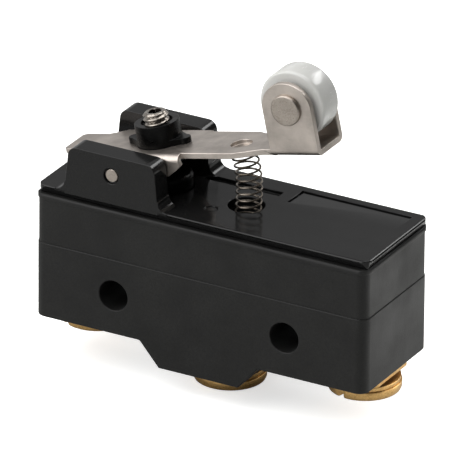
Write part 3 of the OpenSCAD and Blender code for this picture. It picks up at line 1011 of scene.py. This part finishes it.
@dataclass
class Lever(SubAssembly):
    """The bent sheet, its roller, the riveted axle and the hinge pin."""

    pose: LeverPose = field(default_factory=LeverPose)
    sheet_edge: float = 0.08
    roller_u: float = 25.0
    roller_v: float = 7.3
    roller_y: float = 0.52
    bracket_y: float = 0.27
    roller_d: float = 9.5
    roller_w: float = 4.0
    roller_bore_d: float = 2.2
    roller_edge: float = 0.42
    cheek_half: float = 3.26
    head_d: float = 4.2
    head_h: float = 0.5
    axle_d: float = 2.1
    head_round: float = 0.22
    pin_d: float = 1.8
    pin_half: float = 8.25
    pin_bevel: float = 0.12
    edge_steps: int = 5
    round_steps: int = 128

    def build(self) -> None:
        """Builds the lever's pieces."""
        sheet = softened(self.frame, "lever", "lever_sheet", self.sheet_edge, crease_deg=45.0)
        self.stand_in(sheet, "lever", "lever", "rolled_stainless", "steel")
        self.stand_in(self.roller(), "roller", "roller", "acetal_moulding", "roller_plastic")
        self.stand_in(self.axle(), "roller_axle", "lever", "headed_steel", "steel")
        self.stand_in(self.pin(), "hinge_pin", "case", "headed_steel", "steel")

    def side_axis(self, across: float) -> Matrix:
        """Stands a turning axis across the lever at the roller's centre.

        Args:
            across: how far off the lever's middle it stands.

        Returns:
            The axis's place, in metres.
        """
        place = self.pose.matrix(self.roller_u, across, self.roller_v)
        return place @ Matrix.Rotation(math.radians(90), 4, "X")

    def roller(self) -> Piece:
        """Sweeps the roller's rounded section round its bore with Geometry Nodes.

        Returns:
            The roller, in its place.
        """
        names = ("Bore Radius", "Tread Radius", "Width", "Edge Radius")
        kinds = {name: "Float" for name in names} | {"Finish": "Material"}
        tree, given = start_group("roller_sweep", kinds)
        wall = calc(tree, "SUBTRACT", given["Tread Radius"], given["Bore Radius"])
        total = calc(tree, "ADD", given["Tread Radius"], given["Bore Radius"])
        section = add_node(
            tree,
            "GeometryNodeCurvePrimitiveQuadrilateral",
            {"mode": "RECTANGLE"},
            {"Width": wall, "Height": given["Width"]},
        )
        soft = add_node(
            tree,
            "GeometryNodeFilletCurve",
            {"mode": "POLY"},
            {
                "Curve": section.outputs[0],
                "Radius": given["Edge Radius"],
                "Count": self.edge_steps,
                "Limit Radius": True,
            },
        )
        path = add_node(
            tree,
            "GeometryNodeCurvePrimitiveCircle",
            {"mode": "RADIUS"},
            {"Resolution": self.round_steps, "Radius": calc(tree, "MULTIPLY", total, 0.5)},
        )
        end_sweep(tree, path.outputs[0], soft.outputs[0], given["Finish"], False)

        piece = link_object("roller_wheel", bpy.data.meshes.new("roller_wheel"))
        sweep = piece.modifiers.new("sweep", "NODES")
        sweep.node_group = tree
        values = (
            mm(self.roller_bore_d / 2),
            mm(self.roller_d / 2),
            mm(self.roller_w),
            mm(self.roller_edge),
        )
        set_inputs(sweep, dict(zip(names, values)) | {"Finish": self.finishes["acetal_moulding"]})
        baked(piece)
        piece.data.transform(self.side_axis(self.roller_y))
        tidy_normals(piece.data)
        smooth(piece.data)
        return piece

    def axle(self) -> Piece:
        """Turns the axle with its two spun heads, each a little hollow in the middle.

        Returns:
            The axle, in its place.
        """
        half = self.cheek_half
        face = half + self.head_h
        head = self.head_d / 2
        bend = self.head_round
        # The head rises square, bends over, and dips a little towards its middle.
        top = [
            (self.axle_d / 2, half),
            (head - 0.04, half),
            (head, half + 0.05),
            *rounded((head - bend, face - bend), bend, 0, 80),
            (head - 0.6, face),
            (head - 1.1, face - 0.03),
            (0.35, face - 0.09),
            (POLE_R, face - 0.1),
        ]
        profile = [(r, -h) for r, h in reversed(top)] + top
        mesh = lathe("axle_rivet", profile, self.side_axis(self.bracket_y))
        return link_object("axle_rivet", mesh)

    def pin(self) -> Piece:
        """Turns the hinge pin with a small round bevel at each end.

        Returns:
            The pin, in its place.
        """
        r = self.pin_d / 2
        end = self.pin_half
        bend = self.pin_bevel
        top = [(r, end - 0.15), *rounded((r - bend, end - bend), bend, 0, 90), (POLE_R, end)]
        profile = [(a, -h) for a, h in reversed(top)] + top
        place = self.pose.matrix() @ Matrix.Rotation(math.radians(90), 4, "X")
        return link_object("hinge_pin_rod", lathe("hinge_pin_rod", profile, place, 64))


@dataclass
class Adjuster(SubAssembly):
    """The moulded insert and its threaded set screw."""

    pose: LeverPose = field(default_factory=LeverPose)
    insert_edge: float = 0.08
    screw_d: float = 3.4
    thread_depth: float = 0.32
    thread_pitch: float = 0.7
    top_v: float = 5.9
    shank_v: float = -0.3
    tip_r: float = 0.9
    tip_low_v: float = -2.1244
    socket_af: float = 1.6
    socket_depth: float = 1.4
    crest_gain: float = 1.35
    root_cut: float = 0.1
    point_slope: float = 0.9
    point_h: float = 0.38
    tip_steps: int = 6
    tip_end_r: float = 0.001
    drill_r: float = 0.3
    drill_h: float = 0.25
    drill_end: tuple[float, float] = (0.002, 0.3)
    steps: int = 96
    layers: int = 110
    lip: float = 0.1

    def build(self) -> None:
        """Builds both pieces."""
        insert = softened(self.frame, "adjuster_insert", "screw_insert", self.insert_edge)
        self.stand_in(insert, "adjuster_insert", "lever", "insert_nylon", "gloss_black")
        self.stand_in(self.screw(), "set_screw", "set_screw", "plated_screw", "plated_steel")

    def thread_radius(self, turn: float, height: float) -> float:
        """Radius of the helical thread at a turn (in radians) and a height.

        Args:
            turn: the direction about the screw's axis.
            height: the height above the pin, square to the lever.

        Returns:
            The radius, which runs out to a plain cone at both ends of the thread.
        """
        phase = (height / self.thread_pitch - turn / (2 * math.pi)) % 1.0
        flank = 1.0 - abs(2.0 * phase - 1.0)
        crest = min(1.0, max(0.0, self.crest_gain * flank - self.root_cut))
        radius = self.screw_d / 2 - self.thread_depth * (1.0 - crest)
        past = max(0.0, height - self.top_v + self.point_h)
        return min(radius, self.screw_d / 2 - self.point_slope * past)

    def hexagon(self, turn: float) -> float:
        """Measures from the screw's axis to the socket's wall.

        Args:
            turn: the direction about the screw's axis, in radians.

        Returns:
            The distance.
        """
        inner = self.socket_af / 2
        local = (turn % math.radians(60)) - math.radians(30)
        return inner / math.cos(local)

    def ring(self, radius: Callable[[float], float], height: float) -> list[Vector]:
        """Lays one ring of points about the screw's axis.

        Args:
            radius: gives the radius for a direction in radians.
            height: the height above the pin, square to the lever.

        Returns:
            The points, in metres.
        """
        place = self.pose.matrix(self.pose.boss_u)
        points = []
        for i in range(self.steps):
            turn = 2 * math.pi * i / self.steps
            r = radius(turn)
            points.append(place @ spot(r * math.cos(turn), r * math.sin(turn), height))
        return points

    def screw(self) -> Piece:
        """Skins the screw from its round tip, up the thread and down into the hex socket.

        Returns:
            The screw, in its place.
        """
        rings = []
        centre_v = self.tip_low_v + self.tip_r
        for i in range(self.tip_steps + 1):
            turn = math.radians(-90 + 90 * i / self.tip_steps)
            r = max(self.tip_end_r, self.tip_r * math.cos(turn))
            rings.append(self.ring(lambda _t, r=r: r, centre_v + self.tip_r * math.sin(turn)))
        rings.append(self.ring(lambda _t: self.tip_r, self.shank_v - 0.02))
        core = self.screw_d / 2 - self.thread_depth
        rings.append(self.ring(lambda _t: core, self.shank_v))
        for i in range(1, self.layers + 1):
            height = self.shank_v + (self.top_v - self.shank_v) * i / self.layers
            rings.append(self.ring(lambda t, h=height: self.thread_radius(t, h), height))
        rings.append(self.ring(lambda t: self.hexagon(t) + self.lip, self.top_v))
        rings.append(self.ring(self.hexagon, self.top_v - self.lip))
        floor_v = self.top_v - self.socket_depth
        rings.append(self.ring(self.hexagon, floor_v))
        rings.append(self.ring(lambda _t: self.drill_r, floor_v - self.drill_h))
        rings.append(self.ring(lambda _t: self.drill_end[0], floor_v - self.drill_end[1]))
        mesh = mesh_from_rings("hex_set_screw", rings)
        smooth(mesh, crease_deg=50.0)
        return link_object("hex_set_screw", mesh)


@dataclass
class ReturnSpring(SubAssembly):
    """The coil spring between the case and the lever, bowed and leaning towards the lever."""

    pose: LeverPose = field(default_factory=LeverPose)
    foot: Triple = (2.68, -0.5, 11.3)
    button_u: float = 15.53
    button_y: float = -0.25
    sheet_v: float = 0.8
    coil_d: float = 3.6
    wire_d: float = 0.28
    turns: float = 11.0
    bow: float = 0.5
    bend_power: float = 3.5
    closed: float = 0.06
    steps_per_turn: int = 40
    wire_sides: int = 12
    clearance: float = 0.05
    foot_gap: float = 0.02
    lean: Triple = (-0.176, 0.0, 0.984)
    squeeze: float = 0.66

    def build(self) -> None:
        """Sweeps the wire, sets the coil in the CAD spring's place and gives it a mesh of its own.
        """
        piece = self.sweep(self.wire_path())
        tidy_normals(piece.data)
        smooth(piece.data, crease_deg=60.0)
        self.stand_in(piece, "return_spring", "case", "drawn_spring_wire", "spring_steel")
        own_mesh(piece)

    def wire_path(self) -> list[Vector]:
        """Follows the wire's centre line. The end coils lie closed and the top takes the slope.

        Returns:
            Points from the foot to the top, in metres.
        """
        top = self.pose.matrix(self.button_u, 0.0, self.sheet_v - self.wire_d / 2 - self.clearance)
        end = top.to_translation() * 1000.0
        low = self.foot[2] + self.wire_d / 2 + self.foot_gap
        lie = self.wire_d * self.turns / (end.z - low)
        reach = (self.coil_d - self.wire_d) / 2
        shift = end.x - self.foot[0] - self.bow
        count = round(self.turns * self.steps_per_turn)
        points = []
        for i in range(count + 1):
            share = i / count
            middle = self.closed * lie + (1 - 2 * self.closed * lie) * (share - self.closed) / (
                1 - 2 * self.closed
            )
            if share < self.closed:
                rise = share * lie
            elif share > 1 - self.closed:
                rise = 1 - (1 - share) * lie
            else:
                rise = middle
            turn = share * self.turns * 2 * math.pi
            slope = math.radians(self.pose.tilt_deg) * rise * rise
            x = self.foot[0] + self.bow * rise + shift * rise**self.bend_power
            y = self.foot[1] + (self.button_y - self.foot[1]) * rise
            z = low + (end.z - low) * rise
            points.append(
                spot(
                    x + reach * math.cos(turn) * math.cos(slope),
                    y + reach * math.sin(turn),
                    z + reach * math.cos(turn) * math.sin(slope),
                )
            )
        return points

    def sweep(self, path: list[Vector]) -> Piece:
        """Sweeps round wire along a path with Geometry Nodes.

        Args:
            path: the wire's centre line, in metres.

        Returns:
            The wire as a plain mesh.
        """
        kinds = {"Geometry": "Geometry", "Wire Radius": "Float", "Finish": "Material"}
        tree, given = start_group("wire_sweep", kinds)
        line = add_node(tree, "GeometryNodeMeshToCurve", {}, {0: given["Geometry"]})
        wire = add_node(
            tree,
            "GeometryNodeCurvePrimitiveCircle",
            {"mode": "RADIUS"},
            {"Resolution": self.wire_sides, "Radius": given["Wire Radius"]},
        )
        end_sweep(tree, line.outputs[0], wire.outputs[0], given["Finish"], True)

        mesh = bpy.data.meshes.new("return_coil")
        mesh.from_pydata(path, [(i, i + 1) for i in range(len(path) - 1)], [])
        piece = link_object("return_coil", mesh)
        sweep = piece.modifiers.new("sweep", "NODES")
        sweep.node_group = tree
        wire_finish = self.finishes["drawn_spring_wire"]
        set_inputs(sweep, {"Wire Radius": mm(self.wire_d / 2), "Finish": wire_finish})
        return baked(piece)


@dataclass
class Mechanism(SubAssembly):
    """The plunger, its seal and the snap contacts inside the case."""

    plunger_edge: float = 0.25

    def build(self) -> None:
        """Builds the plunger and dresses the inner pieces."""
        plunger = softened(
            self.frame, "plunger", "push_plunger", self.plunger_edge, segments=4, crease_deg=30.0
        )
        self.stand_in(plunger, "plunger", "plunger", "insert_nylon", "gloss_black")
        self.keep("stem_seal", "nitrile_rubber")
        self.keep("moving_blade", "copper_alloy_strip")
        self.keep("snap_spring", "drawn_spring_wire")
        for node in ("moving_contact", "normally_open_contact", "normally_closed_contact"):
            self.keep(node, "contact_silver")


@dataclass
class Terminals(SubAssembly):
    """The three brass terminals with their screws and washers."""

    edges: tuple[tuple[str, float], ...] = (("terminal", 0.06), ("washer", 0.06), ("screw", 0.09))
    labels: tuple[str, ...] = ("common", "normally_open", "normally_closed")

    def build(self) -> None:
        """Builds each terminal's tag, washer and screw."""
        for label in self.labels:
            for part, edge in self.edges:
                node = f"{label}_{part}"
                piece = softened(self.frame, node, f"brass_{node}", edge, **FINE)
                self.stand_in(piece, node, "case", "turned_brass", "brass")


# ---- studio -----------------------------------------------------------------------------------


@dataclass
class Softbox:
    """A rectangular light that faces a point or hangs straight down."""

    name: str
    place: Triple
    width: float
    depth: float
    power_w: float
    colour: str = "#ffffff"
    aimed: bool = True

    def build(self, aim: Vector) -> None:
        """Hangs the light.

        Args:
            aim: the point that it faces, unless it hangs straight down.
        """
        lamp = bpy.data.lights.new(self.name, "AREA")
        lamp.shape = "RECTANGLE"
        lamp.size = mm(self.width)
        lamp.size_y = mm(self.depth)
        lamp.energy = self.power_w
        lamp.color = srgb(self.colour)[:3]
        holder = bpy.data.objects.new(self.name, lamp)
        bpy.context.scene.collection.objects.link(holder)
        holder.location = spot(*self.place)
        if self.aimed:
            holder.rotation_euler = (aim - holder.location).to_track_quat("-Z", "Y").to_euler()


@dataclass
class Studio:
    """Floor, sky, lights and camera."""

    azimuth_deg: float = 28.816
    elevation_deg: float = 25.008
    roll_deg: float = 0.541
    distance: float = 1356.43
    lens: float = 806.36
    sensor: float = 36.0
    shift_right: float = 0.16
    shift_up: float = 7.832
    floor_z: float = -12.25
    floor_half: float = 1500.0
    sky_levels: tuple[tuple[float, float], ...] = (
        (0.05, 0.62),
        (0.22, 0.66),
        (0.42, 0.33),
        (0.9, 0.85),
    )
    aim: Triple = (0.0, 0.0, 8.0)
    side_start: float = 0.1
    side_end: float = 0.5
    side_share: float = 0.12
    boxes: tuple[Softbox, ...] = (
        Softbox("key_light", (-250.0, -300.0, 320.0), 560.0, 560.0, 2.3),
        Softbox("top_light", (60.0, 120.0, 520.0), 320.0, 320.0, 0.9),
        Softbox("back_card", (138.0, 413.0, 320.0), 220.0, 90.0, 0.34),
        Softbox("floor_fill", (62.0, 30.0, 4.0), 52.0, 60.0, 0.036, aimed=False),
    )

    def build(self) -> None:
        """Builds the whole studio."""
        self.floor()
        self.sky()
        for softbox in self.boxes:
            softbox.build(spot(*self.aim))
        self.camera()
        bpy.context.scene.view_settings.view_transform = "Standard"

    def floor(self) -> None:
        """Lays a pale board under the lowest screw."""
        mesh = bpy.data.meshes.new("floor")
        half = mm(self.floor_half)
        level = mm(self.floor_z)
        corners = [(x * half, y * half, level) for x, y in RECTANGLE]
        mesh.from_pydata(corners, [], [(0, 1, 2, 3)])
        board = link_object("floor", mesh)
        board.data.materials.append(MattFloor("studio_board", "#f4f4f2", 0.9).make())

    def sky(self) -> None:
        """Grades the surroundings by height and dims the side that the roller's right faces."""
        world = bpy.data.worlds.new("studio_surroundings")
        bpy.context.scene.world = world
        world.use_nodes = True
        tree = world.node_tree
        tree.nodes.clear()
        where = add_node(tree, "ShaderNodeTexCoord")
        parts = add_node(tree, "ShaderNodeSeparateXYZ", {}, {0: where.outputs["Generated"]})
        ramp = add_node(tree, "ShaderNodeValToRGB", {}, {0: parts.outputs[2]})
        band = ramp.color_ramp
        for position, level in self.sky_levels:
            stop = band.elements.new(position)
            stop.color = (level, level, level, 1.0)
        band.elements[0].color = band.elements[1].color
        band.elements[-1].color = band.elements[-2].color
        side = add_node(
            tree,
            "ShaderNodeMapRange",
            {"clamp": True, "interpolation_type": "SMOOTHSTEP"},
            {
                "Value": parts.outputs[0],
                "From Min": self.side_start,
                "From Max": self.side_end,
                "To Min": 1.0,
                "To Max": self.side_share,
            },
        )
        light = add_node(
            tree, "ShaderNodeBackground", {}, {0: ramp.outputs[0], "Strength": side.outputs[0]}
        )
        add_node(tree, "ShaderNodeOutputWorld", {}, {0: light.outputs[0]})

    def camera(self) -> None:
        """Sets the camera from its angles, distance and lens."""
        turn = math.radians(self.azimuth_deg)
        rise = math.radians(self.elevation_deg)
        roll = math.radians(self.roll_deg)
        back = Vector(
            (math.sin(turn) * math.cos(rise), -math.cos(turn) * math.cos(rise), math.sin(rise))
        )
        level = Vector((math.cos(turn), math.sin(turn), 0.0))
        upright = back.cross(level)
        right = level * math.cos(roll) + upright * math.sin(roll)
        up = -level * math.sin(roll) + upright * math.cos(roll)
        lens = bpy.data.cameras.new("studio_camera")
        lens.lens = self.lens
        lens.sensor_width = self.sensor
        lens.clip_start = 0.01
        lens.clip_end = 20.0
        holder = bpy.data.objects.new("studio_camera", lens)
        bpy.context.scene.collection.objects.link(holder)
        stand = back * mm(self.distance) + right * mm(self.shift_right) + up * mm(self.shift_up)
        holder.matrix_world = (
            Matrix.Translation(stand) @ Matrix((right, up, back)).transposed().to_4x4()
        )
        bpy.context.scene.camera = holder


# ---- the build --------------------------------------------------------------------------------


def report(assemblies: Iterable[SubAssembly]) -> None:
    """Logs each piece with the number of faces it has.

    Args:
        assemblies: the built sub-assemblies.
    """
    for assembly in assemblies:
        for name in assembly.made:
            piece = bpy.data.objects[name]
            LOG.info("%s: %s, %d faces", type(assembly).__name__, name, len(piece.data.polygons))


def main() -> None:
    """Builds the switch and its studio on the loaded frame."""
    logging.basicConfig(level=logging.INFO, format="%(name)s: %(message)s")
    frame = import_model()
    finishes = FinishSet().build()
    assemblies: list[SubAssembly] = [
        Case(frame, finishes),
        Lever(frame, finishes),
        Adjuster(frame, finishes),
        ReturnSpring(frame, finishes),
        Mechanism(frame, finishes),
        Terminals(frame, finishes),
    ]
    for assembly in assemblies:
        assembly.build()
    Studio().build()
    report(assemblies)


if __name__ == "__main__":
    main()
